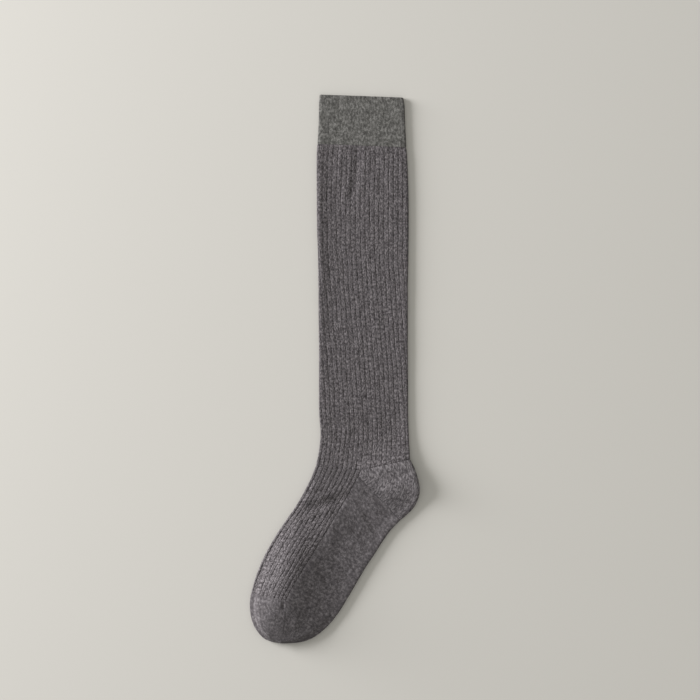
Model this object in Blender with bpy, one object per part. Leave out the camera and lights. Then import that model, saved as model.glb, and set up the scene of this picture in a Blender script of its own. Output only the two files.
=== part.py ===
"""A knee-high rib-knit sock, lying flat on its side on a table.

The leg runs along +Y with the open cuff at the far end, the heel points to +X and the toe to -X and -Y. The sock is
a tube that has been pressed flat: one layer rests on the table at z = 0, the other lies on it, and the two meet in
rounded folds along the front and the back. The foot and the heel pouch stay a little puffed.

Each knitted stretch is a solid of its own: cuff, leg, heel, instep, sole and toe. Every one is lofted through courses,
which are the knitted rounds. A course runs from the front fold over the middle of the sock to the back fold, and back
underneath. The tables below hold a row for each course that shapes the outline.
"""

import math
from collections import namedtuple
from dataclasses import dataclass

import bmesh
import bpy
from mathutils import Vector

MM = 0.001

# Driving dimensions, in metres.
WALL = 1.9 * MM  # ribbed and plain knit, over the ribs
WELT_WALL = 2.1 * MM  # the cuff is knitted double
SEAM_GAP = 0.3 * MM  # between one knitted stretch and the next
FLAT_THICKNESS = 5.0 * MM  # both layers and the air between them
ROLL_BLEND = 12.0 * MM  # how far in from a fold the top layer reaches its full height
RIBS_PER_HALF = 10  # on one face of the sock there are two halves, so 20 ribs, and 40 all round
GROOVE_DEPTH = 0.6 * MM  # the one sunken wale between two ribs
RIM_ROUND = 0.6 * MM  # rounding of the welt's turned edge

# How finely each skin is divided.
PLAIN_STEPS = 9  # across one half of a plain piece, outside
INNER_STEPS = 7  # across one half, inside
UNDER_STEPS = 3  # across one half, on the underside, besides the fold
RIB_SHOULDERS = (0.17, 0.5, 0.83)  # where a rib's raised points lie between two grooves
FOLD_SHARES = (0.34, 0.67, 1.0)  # points on the lower quarter turn of a fold

# A course: the crest of the front fold, the middle of the face and the crest of the back fold, with the radius of
# each fold. All are in millimetres, +X towards the heel side and +Y towards the cuff.
Course = namedtuple("Course", "front_x front_y front_roll mid_x mid_y back_x back_y back_roll")

CUFF = (
    Course(-15.3, 274.4, 2.3, 26.5, 273.0, 68.2, 271.4, 2.3),
    Course(-16.1, 266.4, 2.3, 26.6, 264.7, 69.4, 262.9, 2.3),
    Course(-16.4, 247.4, 2.3, 26.8, 245.6, 69.9, 243.9, 2.3),
    Course(-17.6, 225.1, 2.3, 26.7, 223.4, 71.0, 221.6, 2.3),
)
LEG = (
    CUFF[-1],
    Course(-18.3, 211.4, 2.2, 26.9, 209.9, 72.1, 208.4, 2.2),
    Course(-18.3, 174.4, 2.2, 27.4, 173.4, 73.2, 172.4, 2.2),
    Course(-18.1, 139.4, 2.2, 27.6, 138.9, 73.4, 138.4, 2.2),
    Course(-16.7, 113.4, 2.2, 28.1, 112.9, 73.0, 112.4, 2.2),
    Course(-16.3, 69.4, 2.2, 28.2, 69.4, 72.7, 69.4, 2.2),
    Course(-16.3, 9.4, 2.2, 28.2, 9.4, 72.7, 9.4, 2.2),
    Course(-16.1, -40.6, 2.2, 28.4, -41.0, 72.9, -39.6, 2.3),
    Course(-14.5, -64.6, 2.2, 28.5, -64.5, 73.2, -60.6, 2.4),
    Course(-15.9, -82.6, 2.3, 27.3, -83.5, 73.8, -77.6, 2.7),
    Course(-18.8, -96.6, 2.4, 25.7, -100.6, 74.9, -89.6, 3.2),
)
FOOT = (
    Course(-23.5, -108.6, 2.5, 23.2, -106.6, 64.2, -149.6, 3.8),
    Course(-30.3, -121.1, 2.6, 16.2, -119.1, 54.2, -160.1, 3.3),
    Course(-39.3, -135.6, 2.7, 8.7, -132.1, 46.2, -171.9, 3.0),
    Course(-48.3, -148.9, 2.8, 0.2, -146.6, 38.9, -184.1, 2.9),
    Course(-56.8, -161.6, 3.0, -8.5, -161.1, 32.0, -195.1, 2.8),
    Course(-64.3, -174.0, 3.0, -17.3, -175.1, 25.1, -206.3, 2.8),
    Course(-70.6, -185.6, 3.0, -25.8, -188.6, 18.0, -217.9, 2.8),
    Course(-76.1, -197.8, 3.0, -33.8, -201.6, 10.7, -229.6, 2.8),
    Course(-80.5, -209.6, 3.0, -41.6, -214.9, 2.6, -241.4, 2.8),
    Course(-83.9, -222.6, 3.0, -49.3, -228.6, -6.7, -252.6, 2.8),
)
TOE = (
    FOOT[-1],
    Course(-85.0, -233.6, 3.0, -50.3, -239.0, -13.9, -259.8, 2.8),
    Course(-83.0, -246.0, 2.9, -51.0, -249.0, -21.0, -266.7, 2.8),
    Course(-78.0, -257.6, 2.8, -51.8, -257.6, -29.3, -271.2, 2.7),
    Course(-71.6, -266.8, 2.7, -52.8, -264.6, -37.6, -273.5, 2.6),
    Course(-65.0, -271.5, 2.5, -54.2, -269.4, -45.8, -274.3, 2.5),
)
TOE_TIP = (-55.4, -274.4)

# The heel's courses fan out from the gore apex, so only their middles and their back folds count.
HeelCourse = namedtuple("HeelCourse", "mid_x mid_y back_x back_y back_roll")

HEEL_FAN = (
    HeelCourse(25.7, -101.8, 80.1, -99.6, 3.9),
    HeelCourse(25.5, -102.9, 83.4, -110.1, 4.7),
    HeelCourse(25.1, -103.9, 85.0, -120.1, 5.2),
    HeelCourse(24.6, -104.8, 83.1, -129.8, 5.0),
    HeelCourse(24.0, -105.7, 76.7, -140.1, 4.4),
)

# Where the top layer stands above its flat thickness, or sinks below it: the place, the half length and half width
# of the form and how far it rises, in millimetres, and the bearing of its length from +X, in degrees.
Form = namedtuple("Form", "name x y along across bearing rise")

FORMS = (
    Form("leg crown", 28, 70, 160, 30, 90, 0.8),
    Form("ankle front", -8, -118, 26, 15, 62, 1.6),
    Form("heel cup", 61, -118, 25, 24, 0, 7.0),
    Form("instep ridge", -50, -176, 46, 14, 58, 2.6),
    Form("sole ridge", 18, -196, 50, 14, 56, 2.2),
    Form("toe cap", -64, -238, 22, 15, 75, 2.2),
    Form("heel crease", 33, -139, 22, 5, -47, -1.4),
    Form("instep crease", -6, -134, 18, 5, 10, -0.8),
)

# Colours of the heather yarn, linear RGB, as the photographed cloth shows them.
RIB_COLOUR = (0.112, 0.103, 0.106, 1.0)
PLAIN_COLOUR = (0.120, 0.111, 0.114, 1.0)
WELT_COLOUR = (0.131, 0.128, 0.121, 1.0)
KNIT_ROUGHNESS = 0.92


def smoothstep(share):
    """0 below 0, 1 above 1, and level at both ends between them."""
    share = min(max(share, 0.0), 1.0)
    return share * share * (3.0 - 2.0 * share)


def thickness(place):
    """Height of the top layer's skin above the table at a place well inside the folds, in metres."""
    height = FLAT_THICKNESS
    for form in FORMS:
        offset = place / MM - Vector((form.x, form.y))
        bearing = math.radians(form.bearing)
        along = offset.x * math.cos(bearing) + offset.y * math.sin(bearing)
        across = offset.y * math.cos(bearing) - offset.x * math.sin(bearing)
        height += form.rise * MM * math.exp(-((along / form.along) ** 2) - (across / form.across) ** 2)
    return height


def between(rows, position):
    """The row at a fractional position in a table, on a smooth curve through its rows."""
    last = len(rows) - 1
    index = min(int(position), last - 1)
    share = position - index
    before, start, end, after = (rows[min(max(index + step, 0), last)] for step in (-1, 0, 1, 2))
    values = []
    for p, q, r, s in zip(before, start, end, after):
        bend = 2 * p - 5 * q + 4 * r - s
        turn = 3 * (q - r) + s - p
        values.append(0.5 * (2 * q + (r - p) * share + bend * share**2 + turn * share**3))
    return type(start)(*values)


@dataclass(frozen=True)
class Half:
    """One half of a course: from the crest of its fold, at mid height, to the middle of the face."""

    crest: Vector
    middle: Vector
    roll: float

    def point(self, share, inset, under=False):
        """A point over the skin, 0 at the crest and 1 at the middle, and inset from it into the cloth."""
        inwards = (self.middle - self.crest).normalized()
        level = (self.middle - self.crest).length - self.roll
        path = share * (math.pi / 2 * self.roll + level)
        turn = min(path / self.roll, math.pi / 2)
        past_roll = max(path - math.pi / 2 * self.roll, 0.0)
        reach = self.roll - (self.roll - inset) * math.cos(turn) + past_roll
        place = self.crest + inwards * reach
        rise = (self.roll - inset) * math.sin(turn)
        if under:
            return Vector((place.x, place.y, self.roll - rise))
        lift = (thickness(place) - 2 * self.roll) * smoothstep(past_roll / min(ROLL_BLEND, 0.8 * level))
        return Vector((place.x, place.y, self.roll + rise + lift))

    def fold_share(self):
        """The share at which the quarter turn of the fold ends."""
        quarter = math.pi / 2 * self.roll
        return quarter / (quarter + (self.middle - self.crest).length - self.roll)


def front_half(course, gap=0.0):
    """The half on the shin and instep side, stopping short of the middle by a gap."""
    crest = Vector((course.front_x, course.front_y)) * MM
    middle = Vector((course.mid_x, course.mid_y)) * MM
    return Half(crest, middle - (middle - crest).normalized() * gap, course.front_roll * MM)


def back_half(course, gap=0.0):
    """The half on the calf, heel and sole side, stopping short of the middle by a gap."""
    crest = Vector((course.back_x, course.back_y)) * MM
    middle = Vector((course.mid_x, course.mid_y)) * MM
    return Half(crest, middle - (middle - crest).normalized() * gap, course.back_roll * MM)


def rib_stops():
    """(share, groove) over one half's top skin: a sunken wale at each groove and three raised points between."""
    stops = []
    for rib in range(RIBS_PER_HALF):
        stops.append((rib / RIBS_PER_HALF, True))
        stops.extend(((rib + shoulder) / RIBS_PER_HALF, False) for shoulder in RIB_SHOULDERS)
    return stops + [(1.0, True)]


def plain_stops(steps, half):
    """(share, groove) over one half's skin: the fold's quarter turn in three, and the rest in even steps."""
    fold = half.fold_share()
    shares = [0.0] + [fold * share for share in FOLD_SHARES]
    shares += [fold + (1.0 - fold) * step / steps for step in range(1, steps + 1)]
    return [(share, False) for share in shares]


def skin(half, stops, under_steps, inset, groove_depth=GROOVE_DEPTH):
    """Points over one half from the middle underneath, round the fold, to the middle on top, with their keys.

    A key counts from -1 at the middle underneath to 0 at the crest and 1 at the middle on top.
    """
    below = [
        (-share, half.point(share, inset, under=True)) for share, _ in plain_stops(under_steps, half)[:0:-1]
    ]
    above = [(share, half.point(share, inset + groove_depth * groove)) for share, groove in stops]
    return below + above


@dataclass(frozen=True)
class Knit:
    """What one stretch is knitted like."""

    ribbed: bool
    wall: float = WALL

    def half_skins(self, half, rounding=0.0):
        """The outer and the inner skin of one half. Rounding draws both towards the middle of the cloth."""
        stops = rib_stops() if self.ribbed else plain_stops(PLAIN_STEPS, half)
        outer = skin(half, stops, UNDER_STEPS, rounding)
        inner = skin(half, plain_stops(INNER_STEPS, half), UNDER_STEPS, self.wall - rounding)
        return outer, inner

    def half_section(self, half):
        """A section of half a tube, open at the middle."""
        return self.half_skins(half)

    def whole_section(self, front, back, rounding=0.0):
        """A section of the whole tube. The back half is turned round so that the points go on past the middle."""
        front_skins = self.half_skins(front, rounding)
        back_skins = self.half_skins(back, rounding)
        return tuple(
            near + [(2.0 - key, point) for key, point in far[-2:0:-1]]
            for near, far in zip(front_skins, back_skins)
        )


def drawn_back(sections, start=True, end=True):
    """The sections with the chosen end ones moved inwards by half a seam gap."""
    moved = list(sections)
    for wanted, index, neighbour in ((start, 0, 1), (end, -1, -2)):
        if wanted:
            moved[index] = tuple(
                [
                    (key, point + (beyond - point).normalized() * SEAM_GAP / 2)
                    for (key, point), (_, beyond) in zip(path, path_beyond)
                ]
                for path, path_beyond in zip(sections[index], sections[neighbour])
            )
    return moved


class Loft:
    """Builds the mesh of one stretch from its sections, each an outer and an inner path of keyed points."""

    def __init__(self, sections, closed):
        self.mesh = bmesh.new()
        self.closed = closed
        self.keys = [[key for key, _ in path] for path in sections[0]]
        self.rings = [
            [[self.mesh.verts.new(point) for _, point in path] for path in section] for section in sections
        ]

    def steps(self, count):
        """Neighbouring indices along a path, and round to the start again on a closed one."""
        pairs = [(index, index + 1) for index in range(count - 1)]
        return pairs + [(count - 1, 0)] if self.closed else pairs

    def cover(self):
        """Faces over both skins and, on an open section, over the two edges where they meet."""
        for ring, following in zip(self.rings, self.rings[1:]):
            for side in (0, 1):
                for a, b in self.steps(len(ring[side])):
                    self.mesh.faces.new((ring[side][a], ring[side][b], following[side][b], following[side][a]))
            if not self.closed:
                for end in (0, -1):
                    self.mesh.faces.new((ring[0][end], ring[1][end], following[1][end], following[0][end]))

    def rim(self, ring):
        """Faces between the two skins at an end, stepping along whichever skin is behind."""
        outer, inner = ring
        outer_keys, inner_keys = (list(keys) for keys in self.keys)
        if self.closed:
            outer, inner = outer + outer[:1], inner + inner[:1]
            outer_keys.append(3.0)
            inner_keys.append(3.0)
        i = j = 0
        while i < len(outer) - 1 or j < len(inner) - 1:
            step_outer = j == len(inner) - 1 or (
                i < len(outer) - 1 and outer_keys[i + 1] <= inner_keys[j + 1]
            )
            if step_outer:
                self.mesh.faces.new((outer[i], outer[i + 1], inner[j]))
                i += 1
            else:
                self.mesh.faces.new((outer[i], inner[j + 1], inner[j]))
                j += 1

    def tip(self, outer_tip, inner_tip):
        """Faces that gather both skins to a point each, past the last section."""
        for ring, place in zip(self.rings[-1], (outer_tip, inner_tip)):
            end = self.mesh.verts.new(place)
            for a, b in self.steps(len(ring)):
                self.mesh.faces.new((ring[a], ring[b], end))

    def finish(self, name, colour, collection):
        """The object, with its material, in the collection."""
        bmesh.ops.recalc_face_normals(self.mesh, faces=self.mesh.faces)
        data = bpy.data.meshes.new(name)
        self.mesh.to_mesh(data)
        self.mesh.free()
        data.shade_smooth()
        data.materials.append(knit_material(name, colour))
        collection.objects.link(bpy.data.objects.new(name, data))


def knit_material(name, colour):
    """Matt knitted yarn."""
    material = bpy.data.materials.new(f"{name} knit")
    material.use_nodes = True
    shader = material.node_tree.nodes["Principled BSDF"]
    shader.inputs["Base Color"].default_value = colour
    shader.inputs["Roughness"].default_value = KNIT_ROUGHNESS
    shader.inputs["Metallic"].default_value = 0.0
    return material


def positions(rows, count):
    """Even fractional positions over a table."""
    return [(len(rows) - 1) * step / (count - 1) for step in range(count)]


def whole_sections(rows, count, knit):
    """Sections of the whole tube along a table."""
    courses = [between(rows, position) for position in positions(rows, count)]
    return [knit.whole_section(front_half(course), back_half(course)) for course in courses]


def half_sections(rows, count, knit, half_of):
    """Sections of half the tube along a table, half a seam gap short of the middle."""
    courses = [between(rows, position) for position in positions(rows, count)]
    return [knit.half_section(half_of(course, SEAM_GAP / 2)) for course in courses]


def make_cuff(collection):
    """The double welt, open at the far end, where its turned edge is rounded."""
    knit = Knit(ribbed=False, wall=WELT_WALL)
    sections = whole_sections(CUFF, 7, knit)
    turned = between(CUFF, 0.1)
    edge = CUFF[0]
    sections[0] = knit.whole_section(front_half(turned), back_half(turned))
    sections.insert(0, knit.whole_section(front_half(edge), back_half(edge), RIM_ROUND))
    loft = Loft(drawn_back(sections, start=False), closed=True)
    loft.cover()
    loft.rim(loft.rings[0])
    loft.rim(loft.rings[-1])
    loft.finish("cuff", WELT_COLOUR, collection)


def make_leg(collection):
    """The ribbed tube from the welt to the ankle."""
    loft = Loft(drawn_back(whole_sections(LEG, 19, Knit(ribbed=True))), closed=True)
    loft.cover()
    loft.rim(loft.rings[0])
    loft.rim(loft.rings[-1])
    loft.finish("leg", RIB_COLOUR, collection)


def make_half(name, rows, count, knit, half_of, colour, collection):
    """A stretch that is knitted on one half of the needles only."""
    loft = Loft(drawn_back(half_sections(rows, count, knit, half_of)), closed=False)
    loft.cover()
    loft.rim(loft.rings[0])
    loft.rim(loft.rings[-1])
    loft.finish(name, colour, collection)


def heel_rows():
    """The heel's courses, from the end of the leg round to the start of the sole."""
    ends = [HeelCourse(c.mid_x, c.mid_y, c.back_x, c.back_y, c.back_roll) for c in (LEG[-1], FOOT[0])]
    return (ends[0], *HEEL_FAN, ends[1])


def make_toe(collection):
    """The plain cap. Both its skins are gathered to a point at the tip."""
    loft = Loft(drawn_back(whole_sections(TOE, 11, Knit(ribbed=False)), end=False), closed=True)
    loft.cover()
    loft.rim(loft.rings[0])
    tip = Vector((*TOE_TIP, TOE[-1].front_roll)) * MM
    loft.tip(tip, tip + Vector((0.0, 1.3 * WALL, 0.0)))
    loft.finish("toe", PLAIN_COLOUR, collection)


def main():
    for thing in list(bpy.data.objects):
        bpy.data.objects.remove(thing)
    collection = bpy.data.collections.new("Knee-high sock")
    bpy.context.scene.collection.children.link(collection)
    ribbed, plain = Knit(ribbed=True), Knit(ribbed=False)
    make_cuff(collection)
    make_leg(collection)
    make_half("heel", heel_rows(), 13, plain, back_half, PLAIN_COLOUR, collection)
    make_half("instep", (LEG[-1], *FOOT), 19, ribbed, front_half, RIB_COLOUR, collection)
    make_half("sole", FOOT, 17, plain, back_half, PLAIN_COLOUR, collection)
    make_toe(collection)


main()
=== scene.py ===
"""Looks of a knee-high sock in heather grey knit, lying flat on its side on a pale table.

The sock is one knitted tube, pressed flat. Its surface is worked out from a table of courses, the knitted
rounds: each runs from the crest of the front fold over the middle of the face to the crest of the back fold,
and back underneath. On that form lie soft ridges and creases, then the ribs as real relief, and then the
single stitches, which the yarn's material raises and colours.
"""

from __future__ import annotations

import logging
import math
from dataclasses import dataclass, field, replace
from enum import Enum
from functools import partial
from typing import NamedTuple

import bpy
import numpy as np
from bpy.types import ID, Material, Node, NodeSocket, NodeTree, Object
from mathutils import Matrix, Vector

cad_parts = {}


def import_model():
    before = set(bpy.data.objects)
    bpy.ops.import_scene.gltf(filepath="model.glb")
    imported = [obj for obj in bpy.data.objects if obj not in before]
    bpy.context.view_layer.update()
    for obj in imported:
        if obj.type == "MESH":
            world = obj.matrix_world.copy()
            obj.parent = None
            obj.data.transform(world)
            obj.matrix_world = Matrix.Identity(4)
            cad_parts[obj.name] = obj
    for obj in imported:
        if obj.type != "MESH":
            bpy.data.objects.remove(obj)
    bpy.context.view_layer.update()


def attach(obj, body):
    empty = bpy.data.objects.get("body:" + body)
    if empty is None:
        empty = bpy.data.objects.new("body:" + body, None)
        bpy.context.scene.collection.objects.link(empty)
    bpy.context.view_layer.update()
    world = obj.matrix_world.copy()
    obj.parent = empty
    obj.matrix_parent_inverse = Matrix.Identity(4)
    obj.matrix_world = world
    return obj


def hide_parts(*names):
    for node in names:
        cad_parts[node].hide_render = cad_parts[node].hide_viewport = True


Array = np.ndarray
Pair = tuple[float, float]
Rows = tuple[tuple[float, ...], ...]
LOG = logging.getLogger("sock")
MM = 0.001
BODY = "root"


# ---- Sizes of the sock ----


class Course(NamedTuple):
    """One knitted round as it lies: front fold crest, middle of the face, back fold crest, folds' radii.

    All in millimetres, +X towards the heel side and +Y towards the cuff. The last two are how far the knit
    has turned round the tube there, in wales, and how far the back fold's edge is held off the table.
    """

    front_x: float
    front_y: float
    front_roll: float
    mid_x: float
    mid_y: float
    back_x: float
    back_y: float
    back_roll: float
    turn: float = 0.0
    lift: float = 0.0


class HeelCourse(NamedTuple):
    """Where a heel course turns over the back fold, and its lift off the table, in millimetres."""

    back_x: float
    back_y: float
    back_roll: float
    lift: float = 0.0


class Form(NamedTuple):
    """A broad soft swelling of the top layer, in millimetres.

    Its bearing is in degrees from +X. Seen along it, across and away are its reach to the left and the right.
    """

    x: float
    y: float
    along: float
    across: float
    away: float
    bearing: float
    rise: float

    def height_at(self, x: Array, y: Array) -> Array:
        """Give how much the form raises the cloth.

        Args:
            x: places across, in metres.
            y: places along, in metres.

        Returns:
            Heights, in metres.
        """
        bearing = math.radians(self.bearing)
        dx, dy = x / MM - self.x, y / MM - self.y
        along = dx * math.cos(bearing) + dy * math.sin(bearing)
        across = dy * math.cos(bearing) - dx * math.sin(bearing)
        reach = np.where(across > 0.0, self.across, self.away)
        return self.rise * MM * np.exp(-((along / self.along) ** 2) - (across / reach) ** 2)


class Crease(NamedTuple):
    """A soft trough between two points, bowed sideways, in millimetres. A negative depth makes a ridge."""

    start_x: float
    start_y: float
    end_x: float
    end_y: float
    width: float
    depth: float
    bow: float = 0.0

    def depth_at(self, x: Array, y: Array) -> Array:
        """Give the trough's depth. It fades towards the ends, and has a low lip on both sides.

        Args:
            x: places across, in metres.
            y: places along, in metres.

        Returns:
            Depths, in millimetres.
        """
        lip, fade = 0.8, 2.0
        run_x, run_y = self.end_x - self.start_x, self.end_y - self.start_y
        length = math.hypot(run_x, run_y)
        dx, dy = x / MM - self.start_x, y / MM - self.start_y
        along = (dx * run_x + dy * run_y) / length
        bow = self.bow * (1.0 - (2.0 * np.clip(along / length, 0.0, 1.0) - 1.0) ** 2)
        across = ((dy * run_x - dx * run_y) / length - bow) / self.width
        taper = 0.3 * length + self.width
        beyond = np.maximum(np.abs(along - length / 2) - length / 2 + 0.6 * taper, 0.0) / taper
        return self.depth * (1.0 - lip * across**2) * np.exp(-(across**2) - fade * beyond**2)


CUFF = (
    Course(-15.6, 274.4, 2.3, 26.5, 273.0, 67.8, 271.4, 2.3),
    Course(-16.3, 266.4, 2.3, 26.6, 264.7, 69.2, 262.9, 2.3),
    Course(-16.6, 247.4, 2.3, 26.8, 245.6, 69.9, 243.9, 2.3),
    Course(-17.9, 225.1, 2.4, 26.7, 223.4, 71.0, 221.6, 2.3),
)
LEG = (
    CUFF[-1]._replace(turn=-8.4),
    Course(-18.7, 211.4, 2.6, 26.9, 209.9, 72.1, 208.4, 2.3, -8.7),
    Course(-18.5, 174.4, 2.9, 27.4, 173.4, 73.2, 172.4, 2.4, -9.8),
    Course(-18.2, 139.4, 2.9, 27.6, 138.9, 73.3, 138.4, 2.4, -9.9),
    Course(-17.3, 113.4, 2.9, 28.0, 112.9, 73.0, 112.4, 2.4, -9.7),
    Course(-16.8, 69.4, 2.8, 28.2, 69.4, 72.5, 69.4, 2.4, -7.2),
    Course(-16.3, 9.4, 2.5, 28.2, 9.4, 72.6, 9.4, 2.3, -3.1),
    Course(-16.2, -40.6, 2.3, 28.4, -41.0, 72.9, -39.6, 2.3, -0.5),
    Course(-14.9, -64.6, 2.3, 28.5, -64.5, 73.4, -60.6, 2.5),
    Course(-16.7, -82.6, 2.3, 27.3, -83.5, 74.1, -77.6, 2.6, 0.0, 1.3),
    Course(-19.6, -96.6, 2.4, 25.7, -100.6, 74.8, -89.6, 3.2, 0.0, 2.5),
)
FOOT = (
    Course(-24.2, -108.2, 2.5, 23.2, -106.6, 65.3, -150.4, 2.5),
    Course(-30.7, -121.0, 2.6, 16.2, -119.1, 55.2, -160.9, 2.4),
    Course(-38.9, -135.6, 2.7, 8.7, -132.1, 46.9, -172.4, 2.4),
    Course(-48.1, -148.9, 2.8, 0.2, -146.6, 39.3, -184.4, 2.4),
    Course(-56.8, -161.6, 3.0, -8.5, -161.1, 32.0, -195.1, 2.5),
    Course(-64.3, -174.0, 3.0, -17.3, -175.1, 25.2, -206.4, 2.5),
    Course(-70.6, -185.6, 3.0, -25.8, -188.6, 18.4, -218.1, 2.5),
    Course(-76.0, -197.8, 3.0, -33.8, -201.6, 11.4, -229.9, 2.5),
    Course(-80.4, -209.6, 3.0, -41.6, -214.9, 3.7, -242.3, 2.5),
    Course(-83.9, -222.6, 3.0, -49.3, -228.6, -5.1, -253.9, 2.5),
)
TOE = (
    FOOT[-1],
    Course(-85.4, -233.6, 3.0, -50.3, -239.0, -12.7, -261.0, 2.8),
    Course(-84.3, -246.2, 2.9, -51.0, -249.0, -20.7, -267.0, 2.8),
    Course(-80.3, -257.6, 2.8, -51.8, -257.6, -28.8, -270.7, 2.7),
    Course(-72.6, -267.4, 2.7, -52.8, -264.6, -36.8, -272.7, 2.6),
    Course(-65.0, -271.4, 2.5, -54.2, -269.0, -44.8, -273.3, 2.5),
    Course(-59.0, -272.9, 2.3, -54.8, -272.3, -50.6, -273.6, 2.3),
)
INSTEP = (LEG[-1], *FOOT)
HEEL = (
    HeelCourse(*LEG[-1][5:8], LEG[-1].lift),
    HeelCourse(79.6, -99.7, 3.7, 3.2),
    HeelCourse(82.8, -110.1, 3.9, 4.0),
    HeelCourse(84.4, -120.1, 3.4, 3.6),
    HeelCourse(82.5, -129.8, 2.7, 1.6),
    HeelCourse(76.6, -140.2, 2.4),
    HeelCourse(*FOOT[0][5:8]),
)

FORMS = (
    # The ankle's front and its bend.
    Form(-26, -127, 32, 25, 38, 62, 2.0),
    Form(-5, -156, 18, 15, 18, 35, 2.6),
    # The calf, and the hollow between it and the heel.
    Form(62, 175, 60, 30, 16, 90, 0.6),
    Form(66, -58, 15, 44, 20, 90, -0.9),
    # The heel: its crest, the gore, the knuckle below, the hollow beside and the swelling above.
    Form(104, -102, 50, 29, 17, 14, 8.0),
    Form(50, -98, 22, 12, 9, 10, 3.0),
    Form(58, -126, 14, 14, 12, 55, 1.6),
    Form(56, -150, 22, 26, 14, 60, -1.4),
    Form(84, -87, 11, 20, 10, 90, 1.3),
    # The long ridge over the instep and the toes.
    Form(-43, -195, 34, 20, 30, 68, 10.8),
    Form(-57, -240, 31, 24, 37, 73, 12.2),
)

TOP_CREASES = (
    # Over the instep, under the ankle.
    Crease(-32.3, -141.1, 13.7, -124.6, 5.4, 1.3),
    # Under the gore, where the sole starts.
    Crease(-6.3, -130.6, 26.7, -134.1, 6.0, 1.0, -1.0),
    # Between the heel pouch and the sole.
    Crease(24.7, -117.6, 66.7, -137.6, 6.0, 1.3, -1.5),
    Crease(21.7, -128.6, 45.7, -176.6, 5.0, 0.6, 2.0),
    # Small ones on the sole and the toe.
    Crease(8.7, -168.6, -5.3, -199.6, 8.0, 0.45),
    Crease(-19.3, -197.6, -9.3, -212.6, 2.2, 0.9, 1.0),
    Crease(-51.8, -231.6, -51.5, -237.6, 1.8, 1.1),
    Crease(11.7, -194.6, 18.7, -203.6, 1.7, -0.8),
    Crease(19.7, -168.6, 24.7, -160.6, 2.2, -0.7),
    Crease(14.2, -177.6, 19.7, -171.6, 2.0, -0.6),
    # Down the leg from the cuff.
    Crease(22.7, 221.4, 16.7, 173.4, 5.2, 0.9, 1.0),
    Crease(6.7, 222.4, 2.7, 192.4, 4.0, -0.5),
    Crease(38.7, 140.4, 50.7, 136.4, 2.5, 0.5),
    # Across the leg, where the cloth has settled.
    Crease(-15.3, 44.4, -1.3, 41.4, 2.6, 0.4, 0.6),
    Crease(-14.3, 27.4, 2.7, 30.4, 2.6, 0.5, -0.8),
    Crease(-15.3, -26.6, 4.7, -24.6, 2.6, 0.5, 1.0),
    Crease(30.7, 20.4, 43.7, 13.4, 2.6, 0.5),
    Crease(-7.3, -54.6, 8.7, -58.6, 3.0, 0.6, 0.8),
    Crease(15.7, -62.6, 27.7, -66.6, 3.0, 0.5),
    Crease(44.7, -56.6, 64.7, -64.6, 4.0, 0.8, -1.0),
    Crease(36.7, -2.6, 64.7, -4.6, 2.4, 0.4, 0.5),
    Crease(-18.3, -90.6, -3.3, -95.6, 3.5, 0.7),
)

UNDER_CREASES = (
    Crease(-14.3, 190.4, 18.7, 182.4, 4.0, 0.7, 1.5),
    Crease(34.7, 150.4, 66.7, 158.4, 3.2, 0.6, -1.0),
    Crease(-10.3, 88.4, 12.7, 92.4, 3.0, 0.5, 1.0),
    Crease(24.7, 40.4, 62.7, 30.4, 4.0, 0.8, 2.0),
    Crease(-12.3, -20.6, 20.7, -28.6, 3.4, 0.6, -1.5),
    Crease(30.7, -70.6, 66.7, -62.6, 4.2, 0.8, 1.0),
    Crease(-30.3, -126.6, 10.7, -114.6, 4.4, 0.9, 2.0),
    Crease(16.7, -124.6, 48.7, -162.6, 5.0, 1.0, -2.0),
    Crease(-56.3, -190.6, -28.3, -180.6, 3.6, 0.6, 1.0),
    Crease(-20.3, -214.6, 2.7, -226.6, 3.0, 0.5, -1.0),
)


# ---- Small tools ----


def linear(code: str) -> tuple[float, float, float, float]:
    """Turn an sRGB colour, six hex digits after a hash, into linear RGBA."""
    shares = (int(code[start : start + 2], 16) / 255 for start in (1, 3, 5))
    return *(c / 12.92 if c <= 0.04045 else ((c + 0.055) / 1.055) ** 2.4 for c in shares), 1.0


def smoothstep(share: Array) -> Array:
    """Rise from 0 to 1 with level ends."""
    share = np.clip(share, 0.0, 1.0)
    return share * share * (3.0 - 2.0 * share)


def between(rows: Rows, rings: Array) -> Array:
    """Read a table on a smooth curve through all its rows.

    Args:
        rows: the table.
        rings: fractional row numbers.

    Returns:
        One row of values for each ring.
    """
    table = np.array(rows)
    last = len(table) - 1
    index = np.clip(rings.astype(int), 0, last - 1)
    share = (rings - index)[:, None]
    p, q, r, s = (table[np.clip(index + step, 0, last)] for step in (-1, 0, 1, 2))
    bend = 2 * p - 5 * q + 4 * r - s
    turn = 3 * (q - r) + s - p
    return 0.5 * (2 * q + (r - p) * share + bend * share**2 + turn * share**3)


def lengths_down(points: Array) -> Array:
    """Give how far along a row of points each of them lies."""
    steps = np.linalg.norm(np.diff(points, axis=0), axis=1)
    return np.concatenate([[0.0], np.cumsum(steps)])


def add_node(tree: NodeTree, kind: str, inputs: dict | tuple = (), **settings: object) -> Node:
    """Add a shader node.

    Args:
        tree: the node tree.
        kind: the node's type in Blender without the word ShaderNode, and its operation after a dot.
        inputs: what each input gets, by name or in order: a value, a socket or a node's first output.
        settings: the node's own properties.

    Returns:
        The new node.
    """
    kind, _, operation = kind.partition(".")
    node = tree.nodes.new(f"ShaderNode{kind}")
    if operation:
        node.operation = operation
    for name, value in settings.items():
        setattr(node, name, value)
    for name, value in inputs.items() if isinstance(inputs, dict) else enumerate(inputs):
        source = value.outputs[0] if isinstance(value, Node) else value
        if isinstance(source, NodeSocket):
            tree.links.new(source, node.inputs[name])
        else:
            node.inputs[name].default_value = source
    return node


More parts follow.
